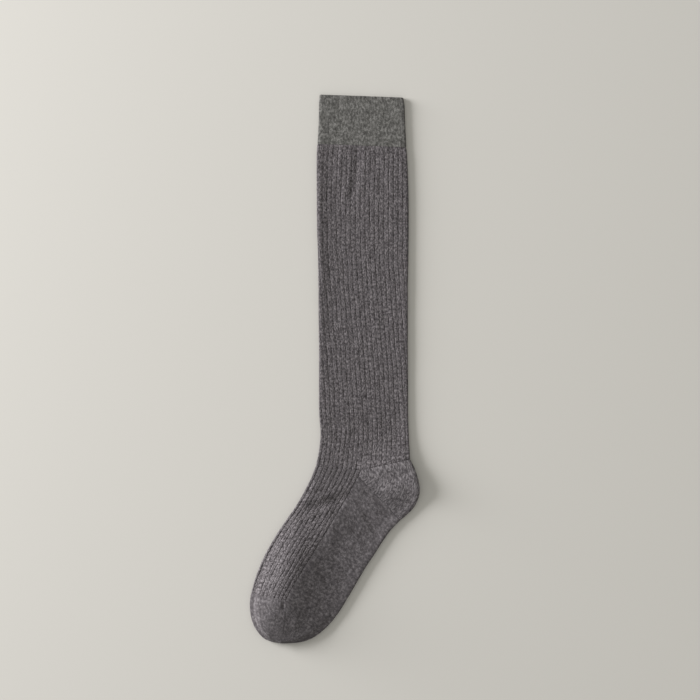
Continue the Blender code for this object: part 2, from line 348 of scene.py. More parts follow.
def bare_material(name: str) -> tuple[Material, partial]:
    """Start a material.

    Args:
        name: the material's name.

    Returns:
        The material with no nodes, and the call that adds nodes to it.
    """
    material = bpy.data.materials.new(name)
    material.use_nodes = True
    material.node_tree.nodes.clear()
    return material, partial(add_node, material.node_tree)


def bell(node: partial, place: Node) -> Node:
    """Add the nodes of a bell curve.

    Args:
        node: the call that adds nodes.
        place: how far to the side of the bell's middle.

    Returns:
        A node that gives 1 in the middle and fades to 0.
    """
    square = node("Math.MULTIPLY", (place, place))
    fall = node("Math.MULTIPLY", (square, -1.0))
    return node("Math.EXPONENT", (fall,))


def add_object(name: str, data: ID) -> Object:
    """Put a mesh, a light or a camera into the scene."""
    bpy.context.scene.collection.objects.link(thing := bpy.data.objects.new(name, data))
    return thing


class Unevenness:
    """Smooth, repeatable noise in the plane: a sum of waves in many directions."""

    def __init__(self, seed: int, across: float, along: float, waves: int = 16) -> None:
        """Choose the waves.

        Args:
            seed: fixes the directions and phases.
            across: typical wavelength in the first direction.
            along: typical wavelength in the second direction.
            waves: how many there are.
        """
        rng = np.random.default_rng(seed)
        bearing = rng.uniform(0, 2 * math.pi, waves)
        stretch = rng.uniform(0.6, 1.7, waves)
        vectors = 2 * math.pi / stretch * np.array([np.cos(bearing) / across, np.sin(bearing) / along])
        self.waves = list(zip(*vectors, rng.uniform(0, 2 * math.pi, waves)))

    def at(self, first: Array, second: Array) -> Array:
        """Give the noise at these places, with a spread of about 1."""
        total = sum(np.sin(across * first + along * second + phase) for across, along, phase in self.waves)
        return total * math.sqrt(2 / len(self.waves))


# ---- Finishes ----


@dataclass(frozen=True)
class HeatherKnit:
    """Heather cotton knit: fibre dyed in two greys, carded together, spun soft and looped on 160 needles.

    The eye sees a matt face with no gloss, a speckle that follows the yarn and a slight bloom of loose fibre
    at grazing angles. Shade is painted into the gaps between the stitches and the sunken wales, and a
    highlight is painted where the light falls. Sizes are in wales and courses, which are stitches of their
    real size. Stitch, streak, speckle and patch are each layer of unevenness's share in the tone.
    """

    name: str
    slot: str
    greys: tuple[str, str, str]
    streak_size: Pair
    stitch: float
    streak: float
    speckle: float
    patch: float
    # Painted highlight: how much lighter the knit is made where the light falls, round the wale and courses
    # below.
    painted_highlight: float = 0.0
    highlight_wale: float = 44.0
    highlight_wales: float = 12.0
    highlight_courses: Pair = (475.0, 525.0)
    # Painted shade: how much darker the sunken wale between two ribs is made.
    groove_shade: float = 0.0
    groove_wales: float = 0.62
    rib_wales: float = 4.0
    # Painted shade: how much darker the gaps between stitches are made.
    stitch_shade: float = 0.25
    stitch_relief: float = 0.15 * MM
    stitch_slant: float = 1.4
    yarn_roundness: float = 0.6
    speckle_scale: float = 0.9
    patch_scale: float = 0.13
    grey_places: tuple[float, float, float] = (0.12, 0.5, 0.88)
    bloom: str = "#d8d4d2"

    def material(self) -> Material:
        """Build the material.

        Returns:
            A material that reads wale and course numbers from the map named knit.
        """
        material, node = bare_material(self.name)
        stitches = node("UVMap", uv_map="knit")
        wale, course, _ = node("SeparateXYZ", (stitches,)).outputs
        within = node("Math.FRACT", (wale,))
        centred = node("Math.SUBTRACT", (within, 0.5))
        aside = node("Math.ABSOLUTE", (centred,))
        slant = node("Math.MULTIPLY_ADD", (aside, -self.stitch_slant, course))
        height = self.stitch_height(node, aside, slant)
        # The knit's tone is darkened by painted shade in the gaps and grooves, and lightened by a painted
        # highlight.
        shade = self.gap_shade(node, wale, height)
        if self.painted_highlight:
            shade = self.paint_highlight(node, wale, course, shade)
        colour = self.fibre_colour(node, stitches, wale, slant)
        tone = node("VectorMath.SCALE", {0: colour, "Scale": shade})
        bump = node("Bump", {"Strength": 1.0, "Distance": self.stitch_relief, "Height": height})
        # Cotton's own IOR is near 1.5, but its broken surface gives next to no highlight.
        fibre = {"Roughness": 0.93, "IOR": 1.5, "Specular IOR Level": 0.15}
        sheen = {"Sheen Weight": 0.07, "Sheen Roughness": 0.6, "Sheen Tint": linear(self.bloom)}
        shader = node("BsdfPrincipled", {"Base Color": tone, **fibre, **sheen, "Normal": bump})
        node("OutputMaterial", {"Surface": shader})
        return material

    def stitch_height(self, node: partial, aside: Node, slant: Node) -> Node:
        """Raise every stitch as a V of two slanting legs of yarn.

        Args:
            node: the call that adds nodes.
            aside: the distance from the wale's middle, up to half a wale.
            slant: the course number along a slanting leg.

        Returns:
            A node with the height, from 0 to 1.
        """
        step = node("Math.FRACT", (slant,))
        turn = node("Math.MULTIPLY", (step, math.pi))
        loop = node("Math.SINE", (turn,))
        swing = node("Math.MULTIPLY", (aside, 2 * math.pi))
        leg = node("Math.SINE", (swing,))
        raised = node("Math.MULTIPLY", (loop, leg))
        return node("Math.POWER", (raised, self.yarn_roundness))

    def gap_shade(self, node: partial, wale: NodeSocket, height: Node) -> Node:
        """Paint shade into the gaps between stitches, and into the sunken wale between two ribs.

        Args:
            node: the call that adds nodes.
            wale: the wale number.
            height: the stitch's height.

        Returns:
            A node with the share of light that is left, up to 1.
        """
        gaps = node("Math.MULTIPLY_ADD", (height, self.stitch_shade, 1.0 - self.stitch_shade))
        if not self.groove_shade:
            return gaps
        rib = node("Math.MULTIPLY_ADD", (wale, 1.0 / self.rib_wales, 0.5))
        within = node("Math.FRACT", (rib,))
        aside = node("Math.SUBTRACT", (within, 0.5))
        width = node("Math.MULTIPLY", (aside, self.rib_wales / self.groove_wales))
        sunken = bell(node, width)
        left = node("Math.MULTIPLY_ADD", (sunken, -self.groove_shade, 1.0))
        return node("Math.MULTIPLY", (left, gaps))

    def paint_highlight(self, node: partial, wale: NodeSocket, course: NodeSocket, shade: Node) -> Node:
        """Paint a highlight where light falls: by the front fold over the ball and the toe, and on the heel's
        upper half.

        Args:
            node: the call that adds nodes.
            wale: the wale number.
            course: the course number.
            shade: the share of light that is left.

        Returns:
            A node with that share, raised by up to the painted highlight.
        """
        aside = node("Math.MULTIPLY_ADD", (wale, 1.0 / self.highlight_wales, -self.highlight_wale / self.highlight_wales))
        onset = node("MapRange", (course, *self.highlight_courses), interpolation_type="SMOOTHSTEP")
        both = node("Math.MULTIPLY", (bell(node, aside), onset))
        gain = node("Math.MULTIPLY_ADD", (both, self.painted_highlight, 1.0))
        return node("Math.MULTIPLY", (gain, shade))

    def fibre_colour(self, node: partial, stitches: Node, wale: NodeSocket, slant: Node) -> Node:
        """Mix the yarn's fibres: each stitch has its own tone, under streaks, flecks and broad patches.

        Args:
            node: the call that adds nodes.
            stitches: the wale and course numbers.
            wale: the wale number.
            slant: the course number along a slanting leg.

        Returns:
            A node with the colour.
        """
        cell = node("CombineXYZ", (node("Math.FLOOR", (wale,)), node("Math.FLOOR", (slant,))))
        chance = node("TexWhiteNoise", (cell,), noise_dimensions="2D")
        scale = (*(1 / size for size in self.streak_size), 1.0)
        drawn = node("Mapping", {"Vector": stitches, "Scale": scale})
        layers = [(chance, self.stitch)]
        for place, fineness, detail, weight in (
            (drawn, 1.0, 1.0, self.streak),
            (stitches, self.speckle_scale, 3.0, self.speckle),
            (stitches, self.patch_scale, 2.0, self.patch),
        ):
            grain = {"Vector": place, "Scale": fineness, "Detail": detail, "Roughness": 0.6}
            layers.append((node("TexNoise", grain), weight))
        total = 0.5
        for layer, weight in layers:
            centred = node("Math.SUBTRACT", (layer, 0.5))
            total = node("Math.MULTIPLY_ADD", (centred, weight, total))
        ramp = node("ValToRGB", (total,))
        ramp.color_ramp.elements.new(0.5)
        for stop, place, grey in zip(ramp.color_ramp.elements, self.grey_places, self.greys):
            stop.position, stop.color = place, linear(grey)
        return ramp


# The ribs stand up between sunken wales, so the leg and the instep look striped.
RIB_KNIT = HeatherKnit(
    "heather cotton, rib knit 3 by 1",
    "rib_knit",
    greys=("#413d3f", "#615d5f", "#888385"),
    streak_size=(0.95, 2.8),
    stitch=0.30,
    streak=2.1,
    speckle=0.7,
    patch=0.5,
    # A highlight painted by the front fold over the foot, where the light falls.
    painted_highlight=0.28,
    # Shade painted into the sunken wales between the ribs.
    groove_shade=0.12,
)
# The sole and the toe look even, with blurred flecks.
PLAIN_KNIT = HeatherKnit(
    "heather cotton, plain knit",
    "plain_knit",
    greys=("#444143", "#5f5b5d", "#858183"),
    streak_size=(2.1, 3.2),
    stitch=0.15,
    streak=1.2,
    speckle=0.8,
    patch=0.5,
    # A highlight painted by the front fold over the toe, where the light falls.
    painted_highlight=0.30,
    stitch_shade=0.22,
)
# The heel's short rows are drawn out along the rows, and a highlight is painted on the leg's side of the
# gore.
HEEL_KNIT = replace(
    PLAIN_KNIT,
    name="heather cotton, plain knit in short rows",
    streak_size=(1.2, 4.0),
    stitch=0.35,
    streak=1.9,
    # A highlight painted on the leg's side of the gore, where the light falls.
    painted_highlight=0.32,
    highlight_wale=26.0,
    highlight_wales=36.0,
    highlight_courses=(-10.0, 6.0),
    stitch_shade=0.28,
)
# The double welt is a touch greener, and its two layers give it a coarser grain.
WELT_KNIT = HeatherKnit(
    "heather cotton, double welt",
    "welt_knit",
    greys=("#474644", "#676663", "#8c8b88"),
    streak_size=(1.7, 4.0),
    stitch=0.2,
    streak=1.5,
    speckle=0.9,
    patch=0.6,
)


@dataclass(frozen=True)
class PaintedBoard:
    """Matt emulsion on board, put on with a roller. It gives an even pale ground for a soft shadow."""

    colour: str = "#d0cec8"
    peel_scale: float = 900.0
    peel_relief: float = 0.05 * MM

    def material(self) -> Material:
        """Build the material, with a roller's faint orange peel.

        Returns:
            The material.
        """
        material, node = bare_material("matt emulsion, rolled")
        place = node("TexCoord").outputs["Object"]
        peel = node("TexNoise", {"Vector": place, "Scale": self.peel_scale, "Detail": 2.0})
        bump = node("Bump", {"Strength": 0.1, "Distance": self.peel_relief, "Height": peel})
        paint = {"Base Color": linear(self.colour), "Roughness": 0.9, "Specular IOR Level": 0.1}
        shader = node("BsdfPrincipled", {**paint, "Normal": bump})
        node("OutputMaterial", {"Surface": shader})
        return material


# ---- The lie of the cloth ----


@dataclass
class Lie:
    """How the cloth lies: how thick both layers are together, and where they swell and crease."""

    flat_thickness: float = 4.4 * MM
    roll_blend: float = 10.0 * MM
    rise_blend: float = 5.0 * MM
    lift_blend: float = 30.0 * MM
    crease_blend: float = 3.0 * MM
    fold_power: float = 0.72
    ripple: float = 0.13 * MM
    ripple_size: Pair = (13.0 * MM, 16.0 * MM)
    pucker: float = 0.045 * MM
    pucker_size: Pair = (3.2 * MM, 6.5 * MM)
    under_ripple: float = 0.08 * MM
    under_shift: float = 100.0 * MM

    def __post_init__(self) -> None:
        """Set up the small unevenness: long ripples, and puckers that follow the wales."""
        self.ripples = Unevenness(11, *self.ripple_size)
        self.puckers = Unevenness(12, *self.pucker_size, 24)

    def height(self, x: Array, y: Array) -> Array:
        """Give the height of the top layer well inside the folds, in metres."""
        return sum((form.height_at(x, y) for form in FORMS), self.flat_thickness)

    def relief(self, x: Array, y: Array) -> Array:
        """Give what creases, ripples and puckers add to the top layer's height, in metres."""
        small = self.ripple * self.ripples.at(x, y) + self.pucker * self.puckers.at(x, y)
        return small - sum(crease.depth_at(x, y) for crease in TOP_CREASES) * MM

    def hollow(self, x: Array, y: Array) -> Array:
        """Give how far the layer on the table is lifted off it, in metres."""
        creased = sum(crease.depth_at(x, y) for crease in UNDER_CREASES) * MM
        return np.maximum(creased + self.under_ripple * self.ripples.at(x + self.under_shift, y), 0.0)


class Side(Enum):
    """The first and last quarter of the tube that a stretch covers, from the middle underneath."""

    FRONT = (0, 1)
    BACK = (2, 3)
    ALL_ROUND = (0, 3)


@dataclass
class Half:
    """One half of the tube's courses, as arrays: fold crests, middles, fold radii and lifts, in metres."""

    crest: Array
    middle: Array
    roll: Array
    lift: Array

    def points(self, lie: Lie, share: Array, inset: Array, under: bool) -> Array:
        """Work out places over the skin.

        Args:
            lie: how the cloth lies.
            share: 0 at the fold's crest and 1 at the middle, rings by columns.
            inset: how far in from the skin, rings by columns, in metres.
            under: whether this is the layer on the table.

        Returns:
            Rings by columns by 3, in metres.
        """
        reach = np.linalg.norm(self.middle - self.crest, axis=1)
        inwards = ((self.middle - self.crest) / reach[:, None])[:, None, :]
        roll, lift = self.roll[:, None], self.lift[:, None]
        level = reach[:, None] - roll
        path = share * (math.pi / 2 * roll + level)
        turn = np.minimum(path / roll, math.pi / 2)
        past = np.maximum(path - math.pi / 2 * roll, 0.0)
        # A pressed fold is squarer than a circle, so both are raised to a power under 1.
        cosine, sine = (np.abs(wave) ** lie.fold_power for wave in (np.cos(turn), np.sin(turn)))
        place = self.crest[:, None, :] + inwards * (roll - (roll - inset) * cosine + past)[..., None]
        rise = (roll - inset) * sine
        x, y = place[..., 0], place[..., 1]
        near = smoothstep(past / lie.crease_blend)
        if under:
            z = roll - rise + lie.hollow(x, y) * near + lift * smoothstep(1.0 - past / lie.lift_blend)
        else:
            climb = lie.height(x, y) - 2 * roll - lift
            way = np.where(climb > 0.0, lie.rise_blend, lie.roll_blend)
            z = roll + lift + rise + lie.relief(x, y) * near
            z += climb * smoothstep(past / np.minimum(way, 0.8 * level))
        return np.concatenate([place, z[..., None]], axis=2)


# ---- The stretches of the sock ----


class Grid(NamedTuple):
    """A skin's vertex numbers, rings by columns, with their wale and course numbers."""

    numbers: Array
    stitches: Array

    def edge(self, where: object) -> tuple[Array, Array]:
        """Give one ring or one column of it."""
        return self.numbers[where], self.stitches[where]


@dataclass
class Shell:
    """A mesh in the making: places, faces, and the wale and course number at each corner of a face.

    They are kept with the corners, because a closed tube's last wale is also its first.
    """

    closed: bool
    places: Array = field(default_factory=lambda: np.zeros((0, 3)))
    corners: Array = field(default_factory=lambda: np.zeros((0, 2)))
    faces: list[list[int]] = field(default_factory=list)

    def add_places(self, places: Array) -> Array:
        """Add places and give their numbers."""
        self.places = np.concatenate([self.places, places])
        return np.arange(len(self.places) - len(places), len(self.places))

    def add_skin(self, places: Array, stitches: Array) -> Grid:
        """Add a grid of places.

        Args:
            places: rings by columns by 3. On a closed tube, the last column is the first one again.
            stitches: rings by columns by 2.

        Returns:
            The grid.
        """
        own = places[:, :-1] if self.closed else places
        numbers = self.add_places(own.reshape(-1, 3)).reshape(own.shape[:2])
        if self.closed:
            numbers = np.concatenate([numbers, numbers[:, :1]], axis=1)
        return Grid(numbers, stitches)

    def add_faces(self, faces: Array, corners: Array, flip: bool) -> None:
        """Add faces with their corners' wale and course numbers, turned round if flip is set."""
        self.faces += faces[:, :: -1 if flip else 1].tolist()
        self.corners = np.concatenate([self.corners, corners[:, :: -1 if flip else 1].reshape(-1, 2)])

    def cover(self, grid: Grid, flip: bool) -> None:
        """Add the faces of a grid.

        Args:
            grid: the grid.
            flip: whether to turn the faces round.
        """
        this, after = slice(-1), slice(1, None)
        around = (this, this), (after, this), (after, after), (this, after)
        faces = np.stack([grid.numbers[where] for where in around], axis=-1)
        corners = np.stack([grid.stitches[where] for where in around], axis=-2)
        self.add_faces(faces.reshape(-1, 4), corners.reshape(-1, 4, 2), flip)

    def bridge(self, first: tuple, second: tuple, flip: bool, axis: int = 0) -> None:
        """Add the faces between two rings, or between two columns with axis set to 1."""
        self.cover(Grid(*(np.stack(pair, axis=axis) for pair in zip(first, second))), flip)

    def gather(self, ring: tuple, place: Array, flip: bool) -> None:
        """Close a ring with faces to one point.

        Args:
            ring: the ring's vertex numbers and stitches.
            place: the point.
            flip: whether to turn the faces round.
        """
        numbers, stitches = ring
        point = np.full(len(numbers) - 1, self.add_places(place[None, :])[0])
        faces = np.stack([numbers[:-1], point, numbers[1:]], axis=-1)
        middles = (stitches[:-1] + stitches[1:]) / 2 + np.array([0.0, 2.0])
        self.add_faces(faces, np.stack([stitches[:-1], middles, stitches[1:]], axis=1), flip)

    def object(self, name: str, material: Material) -> Object:
        """Make the object.

        Args:
            name: the piece's name.
            material: what it is knitted from.

        Returns:
            The linked object.
        """
        data = bpy.data.meshes.new(name)
        data.from_pydata(self.places.tolist(), [], self.faces)
        data.uv_layers.new(name="knit").uv.foreach_set("vector", self.corners.astype(np.float32).ravel())
        data.shade_smooth()
        data.materials.append(material)
        return add_object(name, data)


@dataclass
class Stretch:
    """One knitted stretch of the sock, as a closed shell of cloth: an outer skin, an inner one and the edges.

    Its columns run round the tube by wale number: 0 at the middle underneath, 40 at the front crest, 80 at
    the middle on top, 120 at the back crest and 160 underneath again. Its rings are fractional row numbers.
    """

    rows: Rows
    finish: HeatherKnit
    flat: Pair
    area: float | None = None
    side: Side = Side.ALL_ROUND
    ribbed: bool = False
    first_course: float = 0.0
    wall: float = 1.9 * MM
    ring_step: float = 1.5 * MM
    inner_step: float = 9.0 * MM
    seam_dip: float = 0.3 * MM
    seam_width: float = 0.8 * MM
    layer_gap: float = 0.1 * MM
    quarter: int = 40
    rib_wales: int = 4
    course_height: float = 0.88 * MM
    groove_depth: float = 0.38 * MM
    groove_wales: float = 0.5
    groove_spread: float = 0.5
    groove_limits: Pair = (0.15, 1.9)
    groove_patches: Pair = (6.0, 10.0)
    rib_crown: float = 0.12 * MM
    rib_wander: float = 0.22
    wander_patches: Pair = (30.0, 55.0)

    # Rings are closer together near an end, for the seam's dip, and columns in a groove or a fold.
    seam_rings = (0.35 * MM, 0.8 * MM, 1.3 * MM)
    rib_columns = (0.0, 0.3, 0.55, 0.9, 1.4, 2.0, 2.6, 3.1, 3.45, 3.7)
    fold_columns = (0.0, 0.8, 1.6, 2.4, 3.2)
    plain_columns = (30, 14)

    def half(self, side: Side, rings: Array) -> Half:
        """Read one half of the courses.

        Args:
            side: the front or the back.
            rings: the rings.

        Returns:
            That half, ring by ring.
        """
        rows = between(self.rows, rings) * MM
        front, middle, back, lift = rows[:, :3], rows[:, 3:5], rows[:, 5:8], rows[:, 9]
        if side is Side.FRONT:
            return Half(front[:, :2], middle, front[:, 2], np.zeros(len(rows)))
        return Half(back[:, :2], middle, back[:, 2], np.maximum(lift, 0.0))

    def ways(self, rings: Array) -> Array:
        """Give how far down the stretch the rings lie.

        Args:
            rings: the rings.

        Returns:
            Distances from its start, in metres.
        """
        fine = np.linspace(0.0, len(self.rows) - 1, 20 * len(self.rows))
        front, back = self.half(Side.FRONT, fine), self.half(Side.BACK, fine)
        lengths = [lengths_down(line) for line in (front.crest, front.middle, back.crest)]
        return np.interp(rings, fine, np.mean(lengths, axis=0))

    def length(self) -> float:
        """Give how long the stretch is, in metres."""
        return self.ways(np.array([len(self.rows) - 1.0]))[0]

    def rings(self, step: float, near_ends: tuple[float, ...] = ()) -> Array:
        """Choose the rings.

        Args:
            step: the distance between rings, in metres.
            near_ends: distances from both ends where there are more, in metres.

        Returns:
            Fractional row numbers.
        """
        fine = np.linspace(0.0, len(self.rows) - 1, 20 * len(self.rows))
        ways = self.ways(fine)
        stops = np.linspace(0.0, ways[-1], math.ceil(ways[-1] / step) + 1)
        near = np.array(near_ends)
        return np.interp(np.unique(np.concatenate([stops, near, ways[-1] - near])), ways, fine)

    def courses(self, rings: Array) -> Array:
        """Number the courses at the rings."""
        return self.first_course + self.ways(rings) / self.course_height

    def last_course(self) -> float:
        """Give the course number at the stretch's end."""
        return self.first_course + self.length() / self.course_height

    def wales(self) -> Array:
        """Choose the columns, more of them on top than underneath.

        Returns:
            Wale numbers.
        """
        if self.ribbed:
            steps = np.array(self.rib_columns)
            ribs = np.arange(0, self.quarter, self.rib_wales)[:, None]
            top, below = (ribs + steps).ravel(), (ribs + steps[::2]).ravel()
        else:
            level = (np.linspace(4.0, self.quarter - 0.4, count) for count in self.plain_columns)
            top, below = (np.concatenate([self.fold_columns, columns]) for columns in level)
        ends = [0.0, 2.0 * self.quarter]
        front = np.unique(np.concatenate([ends, self.quarter - below, self.quarter + top]))
        back = 4.0 * self.quarter - front[::-1]
        both = np.unique(np.concatenate([front, back]))
        return {Side.FRONT: front, Side.BACK: back, Side.ALL_ROUND: both}[self.side]

    def off_groove(self, wales: Array) -> Array:
        """Measure how far the columns lie from the nearest sunken wale.

        Args:
            wales: the columns.

        Returns:
            Distances in wales.
        """
        if self.ribbed:
            return np.abs((wales / self.rib_wales + 0.5) % 1.0 - 0.5) * self.rib_wales
        if self.side is Side.ALL_ROUND:
            return np.full(wales.shape, float(self.quarter))
        # A plain stretch has a sunken wale only where it meets the ribbed one.
        ends = np.array([0.0, 2.0, 4.0]) * self.quarter
        return np.min(np.abs(wales[:, None] - ends), axis=1)

    def outer_inset(self, rings: Array, wales: Array) -> Array:
        """Draw the outer skin in: in the grooves, and at the seams.

        A groove is nowhere equally deep for long: ribs were pulled apart here and pushed together there.

        Args:
            rings: the rings.
            wales: the columns.

        Returns:
            Distances in from the surface, rings by columns, in metres.
        """
        off = self.off_groove(wales)[None, :]
        patches = Unevenness(31, *self.groove_patches, 24)
        uneven = patches.at(wales[None, :] % (4 * self.quarter), self.courses(rings)[:, None])
        pull = np.clip(1.0 + self.groove_spread * uneven, *self.groove_limits)
        inset = self.groove(rings)[:, None] * np.exp(-((off / self.groove_wales) ** 2)) * pull
        if self.ribbed:
            inset += self.rib_crown * (1.0 - 2.0 * off / self.rib_wales) ** 2
        return inset + self.seam(rings)[:, None]

    def groove(self, rings: Array) -> Array:
        """Give the grooves' depth, ring by ring, in metres."""
        return np.full(len(rings), self.groove_depth)

    def dip(self, ways: Array) -> Array:
        """Give how far the skin is drawn in at these distances from a seam."""
        return self.seam_dip * np.exp(-((ways / self.seam_width) ** 2))

    def seam(self, rings: Array) -> Array:
        """Give how far the skin is drawn in at both seams, ring by ring."""
        return self.dip(self.length() - self.ways(rings)) + self.dip(self.ways(rings))

    def inner_inset(self, rings: Array) -> Array:
        """Give how far in the inner skin lies, ring by ring."""
        return np.full(len(rings), self.wall)

    def skin(self, lie: Lie, rings: Array, wales: Array, inset: Array, least: float = 0.0) -> Array:
        """Work out the places of one skin.

        Args:
            lie: how the cloth lies.
            rings: the rings.
            wales: the columns.
            inset: how far in from the surface, rings by columns, in metres.
            least: the least height of the layer on top, in metres.

        Returns:
            Rings by columns by 3, in metres.
        """
        turns = between(self.rows, rings)[:, 8:9]
        key = (wales[None, :] + turns) / self.quarter
        if self.ribbed:
            sway = Unevenness(21, *self.wander_patches).at(wales[None, :], self.courses(rings)[:, None])
            key += self.rib_wander / self.quarter * sway * np.abs(np.sin(math.pi * key))
        first, last = self.side.value
        if self.side is Side.ALL_ROUND:
            key %= 4.0
        places = np.zeros((*inset.shape, 3))
        for number in range(first, last + 1):
            past = np.clip(key - number, 0.0, 1.0)
            half = self.half(Side.FRONT if number < 2 else Side.BACK, rings)
            share = past if number % 2 else 1.0 - past
            quarter = half.points(lie, share, inset, under=number in (0, 3))
            if number in (1, 2):
                quarter[..., 2] = np.maximum(quarter[..., 2], least)
            chosen = np.clip(np.floor(key), first, last) == number
            places[chosen] = quarter[chosen]
        return places

    def stitches(self, rings: Array, wales: Array, places: Array) -> Array:
        """Give each place of a skin its wale and course number."""
        return np.stack(np.broadcast_arrays(wales[None, :], self.courses(rings)[:, None]), axis=-1)

    def inner_rings(self, rings: Array) -> Array:
        """Choose the inner skin's rings: fewer, unless the long edges have to match."""
        return self.rings(self.inner_step) if self.side is Side.ALL_ROUND else rings

    def shell(self, lie: Lie) -> Shell:
        """Build both skins and the edges between them.

        Args:
            lie: how the cloth lies.

        Returns:
            The closed shell.
        """
        wales = self.wales()
        rings = self.rings(self.ring_step, self.seam_rings)
        inner_rings = self.inner_rings(rings)
        outer = self.skin(lie, rings, wales, self.outer_inset(rings, wales))
        inset = np.repeat(self.inner_inset(inner_rings)[:, None], len(wales), axis=1)
        inner = self.skin(lie, inner_rings, wales, inset, self.wall + self.layer_gap)
        shell = Shell(self.side is Side.ALL_ROUND)
        outside = shell.add_skin(outer, self.stitches(rings, wales, outer))
        inside = shell.add_skin(inner, self.stitches(inner_rings, wales, inner))
        shell.cover(outside, flip=False)
        shell.cover(inside, flip=True)
        if not shell.closed:
            for column, flip in ((0, True), (-1, False)):
                where = np.s_[:, column]
                shell.bridge(outside.edge(where), inside.edge(where), flip, axis=1)
        self.close_ends(shell, outside, inside)
        return shell

    def close_ends(self, shell: Shell, outside: Grid, inside: Grid) -> None:
        """Join the two skins at both ends."""
        for ring, flip in ((0, True), (-1, False)):
            shell.bridge(outside.edge(ring), inside.edge(ring), flip)

    def dress(self, lie: Lie) -> None:
        """Args:
            lie: how the cloth lies.
        """
        # The solid has the class's name.
        solid = type(self).__name__.lower()
        piece = self.shell(lie).object(f"knit_{solid}", self.finish.material())
        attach(piece, BODY)
        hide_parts(solid)
        LOG.info("%s: %d faces", piece.name, len(piece.data.polygons))


@dataclass
class Cuff(Stretch):
    """The double welt. Its edge at the mouth is the fold where it was turned, so it is round."""

    rows: Rows = CUFF
    finish: HeatherKnit = WELT_KNIT
    flat: Pair = (0.172, 0.050)
    wall: float = 2.1 * MM

    # Where rings stand on the turned edge, in degrees.
    mouth_angles = (0, 15, 30, 45, 60, 75, 90)

    def turned(self, rings: Array) -> Array:
        """Give how far the turned edge rounds away, ring by ring, in metres."""
        inside = np.clip(1.0 - self.ways(rings) / (self.wall / 2), 0.0, 0.98)
        return self.wall / 2 * (1.0 - np.sqrt(1.0 - inside**2))

    def mouth_rings(self) -> Array:
        """Choose the rings over the turned edge."""
        fine = np.linspace(0.0, 1.0, 400)
        return np.interp(self.wall / 2 * (1.0 - np.cos(np.radians(self.mouth_angles))), self.ways(fine), fine)

    def rings(self, step: float, near_ends: tuple[float, ...] = ()) -> Array:
        """Choose the rings, with more over the turned edge."""
        return np.unique(np.concatenate([super().rings(step, near_ends), self.mouth_rings()]))

    def seam(self, rings: Array) -> Array:
        """Draw the skin in at the turned edge, and at the seam with the leg."""
        return self.turned(rings) + self.dip(self.length() - self.ways(rings))

    def inner_inset(self, rings: Array) -> Array:
        """Give how far in the inner skin lies, less where the edge is turned."""
        return self.wall - self.turned(rings)


@dataclass
class Leg(Stretch):
    """The ribbed tube from the welt to the ankle."""

    rows: Rows = LEG
    finish: HeatherKnit = RIB_KNIT
    flat: Pair = (0.182, 0.322)
    ribbed: bool = True
    groove_depth: float = 0.24 * MM
    opening: float = 14.0 * MM
    groove_at_welt: float = 0.25
    turned_wales: int = 12

    def wales(self) -> Array:
        """Choose the columns, with more where the turned knit comes round onto the top.

        Returns:
            Wale numbers.
        """
        front = super().wales()
        fine = front[(front >= self.quarter) & (front <= self.quarter + self.turned_wales)]
        return np.unique(np.concatenate([front, fine + 2 * self.quarter]))

    def groove(self, rings: Array) -> Array:
        """Give the grooves' depth ring by ring. The welt holds the ribs shut, and they open out below it."""
        opened = smoothstep(self.ways(rings) / self.opening)
        return self.groove_depth * (self.groove_at_welt + (1.0 - self.groove_at_welt) * opened)


@dataclass
class Instep(Stretch):
    """The ribbed half over the foot."""

    rows: Rows = INSTEP
    finish: HeatherKnit = RIB_KNIT
    flat: Pair = (0.096, 0.148)
    area: float = 0.0126
    side: Side = Side.FRONT
    ribbed: bool = True


@dataclass
class Sole(Stretch):
    """The plain half under the foot."""

    rows: Rows = FOOT
    finish: HeatherKnit = PLAIN_KNIT
    flat: Pair = (0.116, 0.125)
    side: Side = Side.BACK
    ring_step: float = 1.3 * MM


@dataclass
class Heel(Stretch):
    """The heel pouch, knitted back and forth in short rows that fan out from the gore."""

    rows: Rows = INSTEP[:2]
    finish: HeatherKnit = HEEL_KNIT
    flat: Pair = (0.118, 0.080)
    area: float = 0.0050
    side: Side = Side.BACK
    ring_step: float = 1.3 * MM
    pouch: Rows = HEEL
    wale_width: float = 1.13 * MM
    gore_start: Pair = (23.0 * MM, -103.0 * MM)
    gore_bearing: float = -31.0

    def half(self, side: Side, rings: Array) -> Half:
        """Read the pouch: its middles lie on the instep's edge, and its crests fan out round the heel."""
        crests, edge = between(self.pouch, rings * (len(self.pouch) - 1)) * MM, between(INSTEP, rings) * MM
        return Half(crests[:, :2], edge[:, 3:5], crests[:, 2], np.maximum(crests[:, 3], 0.0))

    def ways(self, rings: Array) -> Array:
        """Give how far round the heel's crest these rows lie, in metres."""
        fine = np.linspace(0.0, 1.0, 240)
        return np.interp(rings, fine, lengths_down(self.half(Side.BACK, fine).crest))

    def stitches(self, rings: Array, wales: Array, places: Array) -> Array:
        """Count wales out from the gore's start, and courses from the gore, on the leg's side of it above 0.

        Args:
            rings: the rings.
            wales: the columns.
            places: the places of the skin.

        Returns:
            Wale and course numbers, rings by columns by 2.
        """
        bearing = math.radians(self.gore_bearing)
        off = places[..., :2] - np.array(self.gore_start)
        from_start = np.linalg.norm(off, axis=-1)
        from_gore = off[..., 1] * math.cos(bearing) - off[..., 0] * math.sin(bearing)
        return np.stack([from_start / self.wale_width, from_gore / self.course_height], axis=-1)


